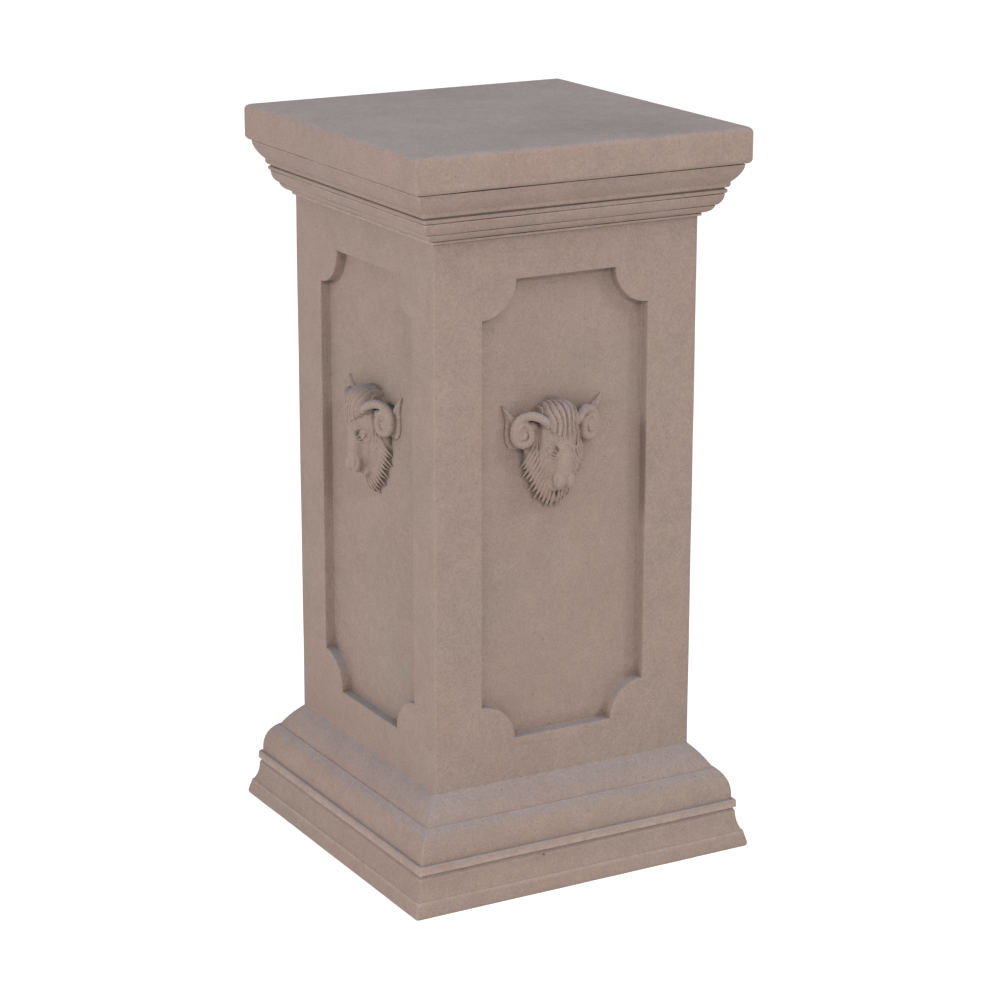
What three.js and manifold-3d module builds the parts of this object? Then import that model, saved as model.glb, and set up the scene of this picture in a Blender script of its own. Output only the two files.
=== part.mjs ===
// A square cast stone pedestal with a ram's head on each side, in millimetres with +Z up.
// The origin is in the middle of the underside, and the front looks along -Y.
// The whole pedestal is one casting: moulded base, shaft with four sunk panels, cap, slab and heads.
import * as THREE from "three";
import { mergeVertices } from "three/addons/utils/BufferGeometryUtils.js";
import Module from "manifold-3d";

const wasm = await Module();
wasm.setup();

// Shaft.
const SHAFT_WIDTH = 300;
const SHAFT_HEIGHT = 560;

// Base mouldings, bottom to top. A rise is a height, and a reach is measured out from the shaft's face.
const PLINTH_RISE = 20;
const PLINTH_REACH = 47.3;
const PLINTH_LEAN = 4.3;
const PLINTH_ROUND = 4;
const HOLLOW_RISE = 25;
const HOLLOW_REACH = 36.8;
const BEAD_RISE = 9.5;
const BEAD_REACH = 37.8;
const QUIRK_RISE = 2;
const QUIRK_REACH = 33.6;
const TORUS_RISE = 27.5;
const TORUS_REACH = 35;
const TORUS_TOP_REACH = 21.5;
const THUMB_RISE = 25;
const THUMB_REACH = 20;
const THUMB_FULLNESS = 0.16;

// Cap mouldings, bottom to top.
const NECK_RISE = 3;
const NECK_REACH = 2.5;
const LOWER_OVOLO_RISE = 14;
const LOWER_OVOLO_REACH = 16.5;
const MIDDLE_OVOLO_RISE = 11;
const MIDDLE_OVOLO_REACH = 20.5;
const CAP_QUIRK_RISE = 2;
const CAP_QUIRK_REACH = 19;
const CAP_BEAD_RISE = 5;
const CAP_BEAD_REACH = 24;
const UPPER_OVOLO_RISE = 20;
const UPPER_OVOLO_REACH = 33.5;
const SLAB_RISE = 36;
const SLAB_REACH = 38.3;
const SLAB_UNDER_ROUND = 5;
const SLAB_TOP_ROUND = 6;

// Sunk panels with a quarter circle of the frame standing into each corner.
const PANEL_DEPTH = 12;
const PANEL_BOTTOM_MARGIN = 44;
const PANEL_TOP_MARGIN = 43;
const PANEL_NOTCH_RADIUS = 38;

// Rams' heads, one on each panel.
const HEAD_HEIGHT = 118;
const HEAD_ABOVE_MIDDLE = 50.5;
const HEAD_SINK = 3;
// The four faces, from the front round to the left. Panels and heads were set by hand, so each has its
// own shift to the right of the face's middle, seen from in front of that face.
const FACES = [
  { turn: 0, panelWidth: 188.6, panelShift: -2, headShift: -12 },
  { turn: 90, panelWidth: 192, panelShift: 0, headShift: 0 },
  { turn: 180, panelWidth: 192, panelShift: 0, headShift: 0 },
  { turn: 270, panelWidth: 199, panelShift: 4.9, headShift: 6 },
];

// How finely curves are divided.
const MOULDING_STEPS = 3;
const NOTCH_STEPS = 6;

// The carving of the head is laid out in millimetres on a head this tall, and scaled to HEAD_HEIGHT.
const LAYOUT_HEIGHT = 118;
const HORN_CENTRE = { side: 38.3, out: 10.8, up: 29.8 };
const HORN_TURNED_OUT = 14;
const HORN_COIL_RADIUS = 11;
const HORN_COIL_SHRINK = 0.62;
const HORN_TURNS = 1.2;
const HORN_ROOT_RADIUS = 4.4;
const HORN_TIP_RADIUS = 1.8;
const CROWN_LOCKS = 8;
const RUFF_LOCKS = 17;
const LOCK_RELIEF = 3.2;
const LOCK_WAVE = 0.05;

// Joins every vertex that two faces share and returns a solid.
function solid(geometry) {
  geometry.deleteAttribute("normal");
  geometry.deleteAttribute("uv");
  const merged = mergeVertices(geometry, 1e-4);
  return new wasm.Manifold(
    new wasm.Mesh({
      numProp: 3,
      vertProperties: new Float32Array(merged.attributes.position.array),
      triVerts: new Uint32Array(merged.index.array),
    }),
  );
}

// Turns a solid back into geometry with flat facets.
function geometryOf(shape) {
  const mesh = shape.getMesh();
  const indexed = new THREE.BufferGeometry();
  indexed.setAttribute("position", new THREE.BufferAttribute(mesh.vertProperties, mesh.numProp));
  indexed.setIndex(new THREE.BufferAttribute(mesh.triVerts, 1));
  const facets = indexed.toNonIndexed();
  facets.computeVertexNormals();
  return facets;
}

// One side of the pedestal in section, as [distance from the axis, height], from the axis and back to it.
function bodySection() {
  const face = SHAFT_WIDTH / 2;
  const section = new THREE.Path();
  let height = 0;
  const straight = (rise, reach) => {
    height += rise;
    section.lineTo(face + reach, height);
  };
  // A curve up to the next reach. Its corner, at a reach and a share of the rise, is what it bends towards.
  const bend = (rise, reach, cornerReach, cornerShare) => {
    section.quadraticCurveTo(face + cornerReach, height + rise * cornerShare, face + reach, height + rise);
    height += rise;
  };
  section.moveTo(0, 0);
  straight(0, PLINTH_REACH - PLINTH_ROUND / 2);
  bend(PLINTH_ROUND, PLINTH_REACH, PLINTH_REACH, 0);
  straight(PLINTH_RISE - PLINTH_ROUND, PLINTH_REACH - PLINTH_LEAN);
  bend(HOLLOW_RISE, HOLLOW_REACH, HOLLOW_REACH, 0.35);
  bend(BEAD_RISE / 2, BEAD_REACH, BEAD_REACH, 0.2);
  bend(BEAD_RISE / 2, QUIRK_REACH, BEAD_REACH, 1);
  straight(QUIRK_RISE, QUIRK_REACH);
  straight(0, TORUS_REACH);
  bend(TORUS_RISE, TORUS_TOP_REACH, TORUS_REACH - 1, 0.72);
  straight(0, THUMB_REACH);
  bend(THUMB_RISE, 0, THUMB_REACH * (0.5 + THUMB_FULLNESS), 0.5);
  straight(SHAFT_HEIGHT, 0);
  straight(NECK_RISE, NECK_REACH);
  bend(LOWER_OVOLO_RISE, LOWER_OVOLO_REACH, LOWER_OVOLO_REACH - 3, 0.35);
  bend(MIDDLE_OVOLO_RISE, MIDDLE_OVOLO_REACH, MIDDLE_OVOLO_REACH, 0.35);
  straight(0, CAP_QUIRK_REACH);
  straight(CAP_QUIRK_RISE, CAP_QUIRK_REACH);
  straight(0, MIDDLE_OVOLO_REACH + 1);
  bend(CAP_BEAD_RISE, CAP_BEAD_REACH - 1, CAP_BEAD_REACH, 0.3);
  bend(UPPER_OVOLO_RISE, UPPER_OVOLO_REACH, UPPER_OVOLO_REACH, 0.55);
  straight(0, SLAB_REACH - SLAB_UNDER_ROUND / 2);
  bend(SLAB_UNDER_ROUND, SLAB_REACH, SLAB_REACH, 0.3);
  straight(SLAB_RISE - SLAB_UNDER_ROUND - SLAB_TOP_ROUND, SLAB_REACH);
  bend(SLAB_TOP_ROUND, SLAB_REACH - SLAB_TOP_ROUND * 0.7, SLAB_REACH, 0.75);
  section.lineTo(0, height);
  return { points: section.getPoints(MOULDING_STEPS), height };
}

// The moulded block: its section swept round a square, with mitred corners.
function bodyBlock(section) {
  const corners = section.points.map((p) => new THREE.Vector2(p.x * Math.SQRT2, p.y));
  const block = new THREE.LatheGeometry(corners, 4, Math.PI / 4);
  block.rotateX(Math.PI / 2);
  return solid(block);
}

// Heights that the panels and the heads take from the base.
const BASE_HEIGHT = PLINTH_RISE + HOLLOW_RISE + BEAD_RISE + QUIRK_RISE + TORUS_RISE + THUMB_RISE;
const PANEL_BOTTOM = BASE_HEIGHT + PANEL_BOTTOM_MARGIN;
const PANEL_TOP = BASE_HEIGHT + SHAFT_HEIGHT - PANEL_TOP_MARGIN;
const PANEL_FLOOR = SHAFT_WIDTH / 2 - PANEL_DEPTH;
const HEAD_MIDDLE = (PANEL_BOTTOM + PANEL_TOP) / 2 + HEAD_ABOVE_MIDDLE;

// The block that is cut away for a panel of this width on the front.
function panelCutter(width) {
  const half = width / 2;
  const notch = PANEL_NOTCH_RADIUS;
  const outline = new THREE.Shape();
  outline.moveTo(-half + notch, PANEL_BOTTOM);
  outline.lineTo(half - notch, PANEL_BOTTOM);
  outline.absarc(half, PANEL_BOTTOM, notch, Math.PI, Math.PI / 2, true);
  outline.lineTo(half, PANEL_TOP - notch);
  outline.absarc(half, PANEL_TOP, notch, -Math.PI / 2, -Math.PI, true);
  outline.lineTo(-half + notch, PANEL_TOP);
  outline.absarc(-half, PANEL_TOP, notch, 0, -Math.PI / 2, true);
  outline.lineTo(-half, PANEL_BOTTOM + notch);
  outline.absarc(-half, PANEL_BOTTOM, notch, Math.PI / 2, 0, true);
  const clear = PANEL_DEPTH;
  const block = new THREE.ExtrudeGeometry(outline, {
    depth: PANEL_DEPTH + clear,
    bevelEnabled: false,
    curveSegments: NOTCH_STEPS,
  });
  block.rotateX(Math.PI / 2);
  block.translate(0, -PANEL_FLOOR, 0);
  return solid(block);
}

// A point of the carving: how far to the side, out of the panel's floor and up from the head's middle.
const at = (side, out, up) => new THREE.Vector3(side, -out, up);
const OUTWARDS = at(0, 1, 0);

// The value of a list at a share of its length, straight between its entries.
function along(values, share) {
  const place = Math.min(share, 0.999999) * (values.length - 1);
  const index = Math.floor(place);
  return THREE.MathUtils.lerp(values[index], values[index + 1], place - index);
}

// A tapering strand through points: a lock of wool, a horn or a lid, with its radii spread along it.
function strand(points, radii, { sides = 4, steps = 4, lift = 1 } = {}) {
  const route = new THREE.CatmullRomCurve3(points, false, "centripetal");
  const tube = new THREE.CylinderGeometry(1, 1, 1, sides, steps);
  const corner = tube.attributes.position;
  for (let i = 0; i < corner.count; i++) {
    const share = 0.5 - corner.getY(i);
    const radius = along(radii, share);
    const tangent = route.getTangentAt(share);
    const across = new THREE.Vector3().crossVectors(OUTWARDS, tangent).normalize();
    const raised = new THREE.Vector3().crossVectors(tangent, across);
    const place = route
      .getPointAt(share)
      .addScaledVector(across, corner.getX(i) * radius)
      .addScaledVector(raised, corner.getZ(i) * radius * lift);
    corner.setXYZ(i, place.x, place.y, place.z);
  }
  return solid(tube);
}

// The skull and face in level sections from the crown down: [up, half width, depth, wedge].
// A wedge of 1 is an ellipse in plan, and more narrows the front like a prow.
const SKULL = [
  [57, 13, 6, 1],
  [53, 18, 17, 1],
  [46, 20.5, 26, 1],
  [36, 21, 30.5, 1.1],
  [27, 22, 31, 1.3],
  [19, 22, 30.5, 1.6],
  [11, 21, 31.5, 1.7],
  [0, 18.5, 32.3, 1.6],
  [-10, 14, 32.3, 1.25],
  [-19, 12, 32.5, 1],
  [-27, 9.5, 28, 0.9],
  [-32, 6, 19, 1],
];
const SKULL_SIDES = 12;

function skull() {
  const stack = new THREE.CylinderGeometry(1, 1, 1, SKULL_SIDES, SKULL.length - 1);
  const corner = stack.attributes.position;
  for (let i = 0; i < corner.count; i++) {
    const row = Math.round((0.5 - corner.getY(i)) * (SKULL.length - 1));
    const [up, halfWidth, depth, wedge] = SKULL[row];
    const x = corner.getX(i);
    const z = corner.getZ(i);
    const side = Math.sign(x) * Math.abs(x) ** wedge * halfWidth;
    const out = z > 1e-6 ? z ** wedge * depth : z * HEAD_SINK;
    corner.setXYZ(i, side, -out, up);
  }
  return solid(stack);
}

// The route of a horn on one side: up and out from the forehead, over, and round into its coil.
function hornRoute(hand) {
  const turned = THREE.MathUtils.degToRad(HORN_TURNED_OUT);
  const { side, out, up } = HORN_CENTRE;
  const points = [at(hand * 13, 23.6, 37.5), at(hand * 19, 23, 43), at(hand * 28, 17.5, 47.6)];
  const steps = Math.round(HORN_TURNS * 12);
  for (let i = 0; i <= steps; i++) {
    const share = i / steps;
    const angle = (80 - share * HORN_TURNS * 360) * (Math.PI / 180);
    const radius = HORN_COIL_RADIUS * (1 - HORN_COIL_SHRINK * share);
    const across = Math.cos(angle) * radius;
    points.push(
      at(
        hand * (side + across * Math.cos(turned)),
        out - across * Math.sin(turned) + 3 * share,
        up + Math.sin(angle) * radius,
      ),
    );
  }
  return points;
}

function horn(hand) {
  const radii = [HORN_ROOT_RADIUS, HORN_ROOT_RADIUS, HORN_ROOT_RADIUS * 0.85, 3.6, HORN_TIP_RADIUS];
  const coil = strand(hornRoute(hand), radii, { sides: 5, steps: 17 });
  // A thin disc behind the coil carries it on the panel's floor.
  const { side, out, up } = HORN_CENTRE;
  const disc = strand(
    [at(hand * (side - 5), -HEAD_SINK, up), at(hand * side, out / 2, up), at(hand * (side + 0.5), out, up)],
    [HORN_COIL_RADIUS, HORN_COIL_RADIUS, HORN_COIL_RADIUS * 0.8],
    { sides: 6, steps: 1 },
  );
  return coil.add(disc);
}

// A pointed ear behind the horn, as a flat leaf that leans out from the panel.
function ear(hand) {
  return strand(
    [at(hand * 46, -1, 14), at(hand * 50, 1, 29), at(hand * 52.5, 2, 43), at(hand * 57.3, 1.5, 58.4)],
    [3, 5.5, 5, 0.5],
    { sides: 4, steps: 4, lift: 0.6 },
  );
}

// A patch of carving with a formula for its front, and its back sunk behind the panel's floor.
// across runs from -1 to 1 over the columns and down from 0 to 1 over the rows.
function relief(columns, rows, front) {
  const patch = new THREE.BoxGeometry(1, 1, 1, columns, rows, 1);
  const corner = patch.attributes.position;
  for (let i = 0; i < corner.count; i++) {
    const across = corner.getX(i) * 2;
    const column = Math.round((corner.getX(i) + 0.5) * columns);
    const [side, out, up] = front(across, 0.5 - corner.getY(i), column % 2 === 1);
    corner.setXYZ(i, side, corner.getZ(i) > 0 ? -out : HEAD_SINK, up);
  }
  return solid(patch);
}

// The wavy locks that fall from the crown over the forehead to the bridge of the nose.
function crown() {
  const halfWidths = [17.5, 20.5, 20, 10];
  const heights = [59, 50, 35, 20];
  const depths = [6, 26, 33, 30];
  return relief(CROWN_LOCKS * 2, halfWidths.length - 1, (across, down, ridge) => {
    const roll = Math.sqrt(1 - 0.72 * across * across);
    const halfWidth = along(halfWidths, down);
    const wave = LOCK_WAVE * Math.sin(down * 5) * (1 - Math.abs(across)) * Math.sign(across);
    return [
      halfWidth * (across + wave),
      along(depths, down) * roll + (ridge ? LOCK_RELIEF / 2 : -LOCK_RELIEF / 2),
      along(heights, down) - 7 * across * across * (1 - down),
    ];
  });
}

// The ruff: locks that fan out from beside the horns round to the point of the beard, each a ridge
// that ends in a tip below its root.
function ruff() {
  const fan = (reach, across) => {
    const angle = across * 1.62;
    const droop = Math.cos(angle);
    return { side: Math.sin(angle) * reach, up: 1 - droop * reach };
  };
  return relief(RUFF_LOCKS * 2, 2, (across, down, ridge) => {
    const outline = THREE.MathUtils.lerp(58, 35.5, Math.abs(across) ** 0.55);
    const reach = along([0.32, 0.74, 1], down) * outline;
    const tuck = ridge ? 1 : 1 - 0.22 * down;
    const { side, up } = fan(reach * tuck, across);
    const relief = (ridge ? LOCK_RELIEF / 2 : -LOCK_RELIEF / 2) * (1 - 0.6 * down);
    const hook = ridge ? 5 * down : 0;
    return [side, along([11, 9.5, 1], down) + relief, up - hook];
  });
}

// An eye under its upper lid.
function eye(hand) {
  const ball = new THREE.SphereGeometry(4, 5, 3);
  ball.translate(hand * 10.8, -18, 12.3);
  const lid = strand(
    [at(hand * 6, 25, 9), at(hand * 10.5, 22, 16), at(hand * 15.5, 15, 13)],
    [0.6, 1.7, 0.6],
    { sides: 3, steps: 2 },
  );
  return [solid(ball), lid];
}

// A comma cut into the side of the muzzle.
function nostril(hand) {
  return strand(
    [at(hand * 3.5, 33, -26), at(hand * 6.5, 31, -23), at(hand * 8, 27.5, -18)],
    [0.8, 1.8, 0.8],
    { sides: 4, steps: 2 },
  );
}

function ramHead() {
  const added = [ruff(), crown()];
  const cut = [];
  for (const hand of [-1, 1]) {
    added.push(horn(hand), ear(hand), ...eye(hand));
    cut.push(nostril(hand));
  }
  let head = skull();
  for (const piece of added) head = head.add(piece);
  for (const piece of cut) head = head.subtract(piece);
  return geometryOf(head);
}

// Copies a geometry to one face of the pedestal.
function onFace(geometry, turn) {
  return geometry.clone().rotateZ(THREE.MathUtils.degToRad(turn));
}

function pedestalGeometry() {
  let body = bodyBlock(bodySection());
  const carved = ramHead();
  const size = HEAD_HEIGHT / LAYOUT_HEIGHT;
  for (const { turn, panelWidth, panelShift, headShift } of FACES) {
    const cutter = geometryOf(panelCutter(panelWidth)).translate(panelShift, 0, 0);
    const placed = carved.clone().scale(size, size, size).translate(headShift, -PANEL_FLOOR, HEAD_MIDDLE);
    body = body.subtract(solid(onFace(cutter, turn)));
    body = body.add(solid(onFace(placed, turn)));
  }
  return geometryOf(body);
}

const castStone = new THREE.MeshStandardMaterial({ color: 0xa08f83, roughness: 0.92, metalness: 0 });
const pedestal = new THREE.Mesh(pedestalGeometry(), castStone);
pedestal.name = "pedestal";

const group = new THREE.Group();
group.add(pedestal);

export default group;
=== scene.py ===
# %% [markdown]
# # A cast stone pedestal with rams' heads
#
# The object is one casting, about knee to hip high: a moulded base, a square shaft with a sunk panel on
# each side, a moulded cap under a thick slab, and a ram's head standing out of each panel. The packed
# model is loaded first and stays the fixed frame, so everything below is made in its place and size.

# %% Load the frame
import math
import random

import bpy
import bmesh
import numpy as np
from mathutils import Matrix, Vector, noise
from mathutils.bvhtree import BVHTree


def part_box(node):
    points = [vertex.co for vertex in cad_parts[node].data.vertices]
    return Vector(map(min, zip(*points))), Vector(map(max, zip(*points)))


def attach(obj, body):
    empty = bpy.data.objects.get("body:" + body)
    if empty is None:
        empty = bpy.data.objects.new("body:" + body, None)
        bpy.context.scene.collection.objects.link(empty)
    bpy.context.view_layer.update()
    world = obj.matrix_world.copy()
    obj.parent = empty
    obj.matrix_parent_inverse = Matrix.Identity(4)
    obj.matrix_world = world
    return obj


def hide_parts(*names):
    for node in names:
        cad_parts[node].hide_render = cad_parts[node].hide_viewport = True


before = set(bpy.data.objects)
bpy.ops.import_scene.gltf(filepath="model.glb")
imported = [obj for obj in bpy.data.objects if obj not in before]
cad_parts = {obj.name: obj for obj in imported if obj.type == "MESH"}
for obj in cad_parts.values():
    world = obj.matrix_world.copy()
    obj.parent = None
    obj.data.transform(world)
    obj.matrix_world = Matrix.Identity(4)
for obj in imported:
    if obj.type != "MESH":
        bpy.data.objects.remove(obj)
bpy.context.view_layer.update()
low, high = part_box("pedestal")
MM = 0.001
height = high.z - low.z
print("frame:", sorted(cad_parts), "height in mm:", round(height / MM, 1))

# %% [markdown]
# ## The camera
#
# The photograph was taken with a long lens from a little above the top slab, with the near corner
# left of the middle. The four upright edges and the slab's corners fix where the lens stood. The turn
# is measured round the pedestal from straight in front, and the shift is none, so other views can
# move the camera freely.

# %% Place the camera
CAMERA_TURN = math.radians(-29.596)
CAMERA_RISE = math.radians(16.343)
CAMERA_ROLL = math.radians(0.114)
CAMERA_DISTANCE = 3.1328
CAMERA_LENS_MM = 108.4
AIM_RIGHT = -0.0075
AIM_UP = 0.0223

back = Vector((
    math.sin(CAMERA_TURN) * math.cos(CAMERA_RISE),
    -math.cos(CAMERA_TURN) * math.cos(CAMERA_RISE),
    math.sin(CAMERA_RISE),
))
right = Vector((math.cos(CAMERA_TURN), math.sin(CAMERA_TURN), 0))
up = back.cross(right)
rolled_right = right * math.cos(CAMERA_ROLL) + up * math.sin(CAMERA_ROLL)
rolled_up = up * math.cos(CAMERA_ROLL) - right * math.sin(CAMERA_ROLL)
lens = bpy.data.cameras.new("camera")
lens.lens = CAMERA_LENS_MM
lens.sensor_width = 36
camera = bpy.data.objects.new("camera", lens)
turn = Matrix((rolled_right, rolled_up, back)).transposed()
place = Vector((0, 0, height / 2)) + back * CAMERA_DISTANCE - right * AIM_RIGHT - up * AIM_UP
camera.matrix_world = Matrix.Translation(place) @ turn.to_4x4()
bpy.context.scene.collection.objects.link(camera)
bpy.context.scene.camera = camera
print("camera at", [round(c, 3) for c in place])

# %% [markdown]
# ## Studio floor and light
#
# The floor is white paper lit from behind, as on a light table, so that the surroundings come out as
# white as they do in the photograph. Four soft lamps stand round the front: one before it, one to the
# right, one overhead and one at the left side, which makes the left face as bright as the front. A
# pale sky fills the rest, so the shadows stay soft and only the grooves are dark.

# %% Build the studio
FLOOR_WIDTH = 120.0
PAPER_TONE = 0.35
PAPER_GLOW = 0.8
PAPER_ROUGHNESS = 0.9
WHITE = (1.0, 1.0, 1.0, 1)
SKY_STRENGTH = 0.6
# All lamps aim at this share of the pedestal's height.
LAMP_AIM = 0.55
# Each lamp's name, place in metres, width in metres, watts and colour.
LAMPS = [
    ("key", (-1.0, -3.7, 2.5), 0.7, 54, (1.0, 0.985, 0.96)),
    ("right", (3.0, -2.4, 3.0), 0.8, 50, (1.0, 0.99, 0.97)),
    ("over", (0.3, -1.4, 3.6), 1.2, 34, (1.0, 0.99, 0.98)),
    ("side", (-3.8, -0.6, 1.9), 1.0, 76, (1.0, 0.99, 0.98)),
]


def area_light(name, at, size, watts, colour):
    lamp = bpy.data.lights.new(name, "AREA")
    lamp.shape = "DISK"
    lamp.size = size
    lamp.energy = watts
    lamp.color = colour
    lamp_object = bpy.data.objects.new(name, lamp)
    lamp_object.location = at
    aim = Vector((0, 0, height * LAMP_AIM)) - Vector(at)
    lamp_object.rotation_euler = aim.to_track_quat("-Z", "Y").to_euler()
    bpy.context.scene.collection.objects.link(lamp_object)


for lamp_values in LAMPS:
    area_light(*lamp_values)

world = bpy.data.worlds.new("studio")
world.use_nodes = True
sky = world.node_tree.nodes["Background"]
sky.inputs["Color"].default_value = WHITE
sky.inputs["Strength"].default_value = SKY_STRENGTH
bpy.context.scene.world = world
# Plain tones, so that the white paper comes out white as it does in the photograph.
bpy.context.scene.view_settings.view_transform = "Standard"

half = FLOOR_WIDTH / 2
floor_mesh = bpy.data.meshes.new("studio_floor")
floor_corners = [(-half, -half, 0), (half, -half, 0), (half, half, 0), (-half, half, 0)]
floor_mesh.from_pydata(floor_corners, [], [(0, 1, 2, 3)])
floor = bpy.data.objects.new("studio_floor", floor_mesh)
bpy.context.scene.collection.objects.link(floor)
paper = bpy.data.materials.new("pale_paper")
paper.use_nodes = True
paper_shader = paper.node_tree.nodes["Principled BSDF"]
paper_shader.inputs["Base Color"].default_value = (PAPER_TONE, PAPER_TONE, PAPER_TONE, 1)
paper_shader.inputs["Roughness"].default_value = PAPER_ROUGHNESS
paper_shader.inputs["Emission Color"].default_value = WHITE
paper_shader.inputs["Emission Strength"].default_value = PAPER_GLOW
floor_mesh.materials.append(paper)
print("studio: floor", FLOOR_WIDTH, "m wide,", len(LAMPS), "soft lamps")

# %% [markdown]
# ## The moulded block
#
# A caster makes the mould's straight lengths by running a cut template along clay or plaster, so one
# section makes all four sides and they meet in mitres at the corners. A lathe or a bevelled curve could
# make it here, but the faces also have to carry fine wear, so the block is laid out as a net of points:
# one ring for each point of the section and a row of columns across each side. Each ring's corner
# is a small arc, because cast arrises are never sharp. Narrow grooves and fillets of a millimetre or
# three lie between the larger members, and they draw the fine dark lines round the cap and the base.

# %% Draw the section
SHAFT_HALF = 150.0
SHAFT_RISE = 560.0
FOOT_START = 45.3
CURVE_STEPS = 7
LONGEST_STRETCH = 9.0
# Members from the ground up: rise, reach from the shaft's face at the top, and the corner point that the
# curve bends towards, as its reach and its share of the rise. A member with no corner is straight.
BASE_MEMBERS = [
    (4, 47.3, (47.3, 0)),
    (13, 43.8, None),
    (0, 43.1, None),
    (21, 37.4, (37.9, 0.35)),
    (5, 35.6, (35.8, 0.3)),
    (0, 38.4, None),
    (7, 38.0, None),
    (1, 37.0, None),
    (0, 34.4, None),
    (33, 21.5, (35.6, 0.68)),
    (0, 20, None),
    (25, 0, (13.2, 0.5)),
]
CAP_MEMBERS = [
    (0, 3.0, None),
    (2.4, 3.0, None),
    (0, 1.8, None),
    (1, 1.8, None),
    (0, 5, None),
    (7.6, 12.8, (11.5, 0.25)),
    (0, 12.0, None),
    (0.8, 12.0, None),
    (0, 14.2, None),
    (11.4, 19.4, (18.6, 0.3)),
    (0, 18.4, None),
    (0.9, 18.4, None),
    (0, 20.3, None),
    (3.9, 20.8, (21.8, 0.5)),
    (0, 19, None),
    (2, 19, None),
    (0, 21.5, None),
    (5, 23, (24, 0.3)),
    (18.6, 33.2, (33.2, 0.55)),
    (0, 31.4, None),
    (1.4, 31.4, None),
    (0, 35.8, None),
    (5, 38.3, (38.3, 0.3)),
    (25, 38.3, None),
    (6, 34.1, (38.3, 0.75)),
]


def run_members(members, reach, at_height):
    """Points (half width, height) along a stack of mouldings, after its starting point."""
    points = []
    for rise, next_reach, corner in members:
        steps = CURVE_STEPS if corner else 1
        bend = corner or ((reach + next_reach) / 2, 0.5)
        for i in range(1, steps + 1):
            t = i / steps
            along = (1 - t) ** 2 * reach + 2 * t * (1 - t) * bend[0] + t * t * next_reach
            level = 2 * t * (1 - t) * bend[1] * rise + t * t * rise
            points.append((SHAFT_HALF + along, at_height + level))
        reach = next_reach
        at_height += rise
    return points


def divided(points, longest):
    """The same line with extra points, so that no stretch is longer than asked."""
    out = [points[0]]
    for (w0, z0), (w1, z1) in zip(points, points[1:]):
        steps = max(1, math.ceil(math.hypot(w1 - w0, z1 - z0) / longest))
        out += [(w0 + (w1 - w0) * i / steps, z0 + (z1 - z0) * i / steps) for i in range(1, steps + 1)]
    return out


base_section = [(SHAFT_HALF + FOOT_START, 0.0)] + run_members(BASE_MEMBERS, FOOT_START, 0.0)
base_top = base_section[-1][1]
cap_section = run_members(CAP_MEMBERS, 0, base_top + SHAFT_RISE)
shaft_top = [(SHAFT_HALF, base_top + SHAFT_RISE)]
section = divided(base_section + shaft_top + cap_section, LONGEST_STRETCH)
print("section:", len(section), "points, top at", round(section[-1][1], 1), "mm")

# %% Build the block's net
COLUMNS = 36
CORNER_STEPS = 3
CORNER_RADIUS = 2.2
# The top and the underside close in by rings of these shares of their width.
CLOSING_SHARES = (0.985, 0.93, 0.8, 0.62, 0.42, 0.2)


def ring(half_width, level):
    """One closed ring of the block at a level, side by side round the four corners."""
    radius = CORNER_RADIUS
    flat = half_width - radius
    points = []
    for side in range(4):
        c, s = round(math.cos(side * math.pi / 2)), round(math.sin(side * math.pi / 2))
        local = [(-flat + 2 * flat * i / COLUMNS, -half_width) for i in range(COLUMNS + 1)]
        for i in range(1, CORNER_STEPS):
            angle = -math.pi / 2 + math.pi / 2 * i / CORNER_STEPS
            local.append((flat + radius * math.cos(angle), -flat + radius * math.sin(angle)))
        points += [(c * x - s * y, s * x + c * y, level) for x, y in local]
    return points


def block_mesh():
    rings = [ring(w, z) for w, z in section]
    for share in CLOSING_SHARES:
        rings.append(ring(section[-1][0] * share, section[-1][1]))
        rings.insert(0, ring(section[0][0] * share, section[0][1]))
    count = len(rings[0])
    points = [p for r in rings for p in r]
    faces = []
    for r in range(len(rings) - 1):
        for i in range(count):
            j = (i + 1) % count
            faces.append((r * count + i, r * count + j, (r + 1) * count + j, (r + 1) * count + i))
    last = (len(rings) - 1) * count
    faces.append(tuple(reversed(range(count))))
    faces.append(tuple(last + i for i in range(count)))
    return points, faces


def mesh_object(name, points, faces):
    mesh = bpy.data.meshes.new(name)
    mesh.from_pydata([(x * MM, y * MM, z * MM) for x, y, z in points], [], faces)
    mesh.validate()
    made = bpy.data.objects.new(name, mesh)
    bpy.context.scene.collection.objects.link(made)
    return made


block = mesh_object("pedestal_cast", *block_mesh())
print("block:", len(block.data.vertices), "points,", len(block.data.polygons), "faces")

# %% [markdown]
# ## The sunk panels
#
# Each panel is cast from a board fixed inside the mould, with a quarter circle of the frame standing
# into every corner. Here the board is a solid that is cut away with a boolean, which keeps the frame's
# face flat. It flares in its last millimetre and a half, so the panel's arris is rounded as the cast
# one is, and its floor has a small fillet against the walls.

# %% Cut the panels
# Each side's panel, from the front round to the left: its width, and its shift to the right of the middle.
PANELS = [(188.6, -2.0), (192.0, 0.0), (192.0, 0.0), (199.0, 4.9)]
FRAME_BELOW, FRAME_ABOVE = 44.0, 43.0
PANEL_BOTTOM = base_top + FRAME_BELOW
PANEL_TOP = base_top + SHAFT_RISE - FRAME_ABOVE
PANEL_DEPTH = 12.0
NOTCH_RADIUS = 38.0
NOTCH_STEPS = 14
ARRIS_ROUND = 1.4
FLOOR_FILLET = 1.0
# Where the points of the fillet's arc and the arris's arc lie, in radians.
FILLET_TURNS = (0.5, 1.0, 1.57)
ARRIS_TURNS = (0.4, 0.8, 1.15)
BOARD_GRID = 8.0


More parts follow.
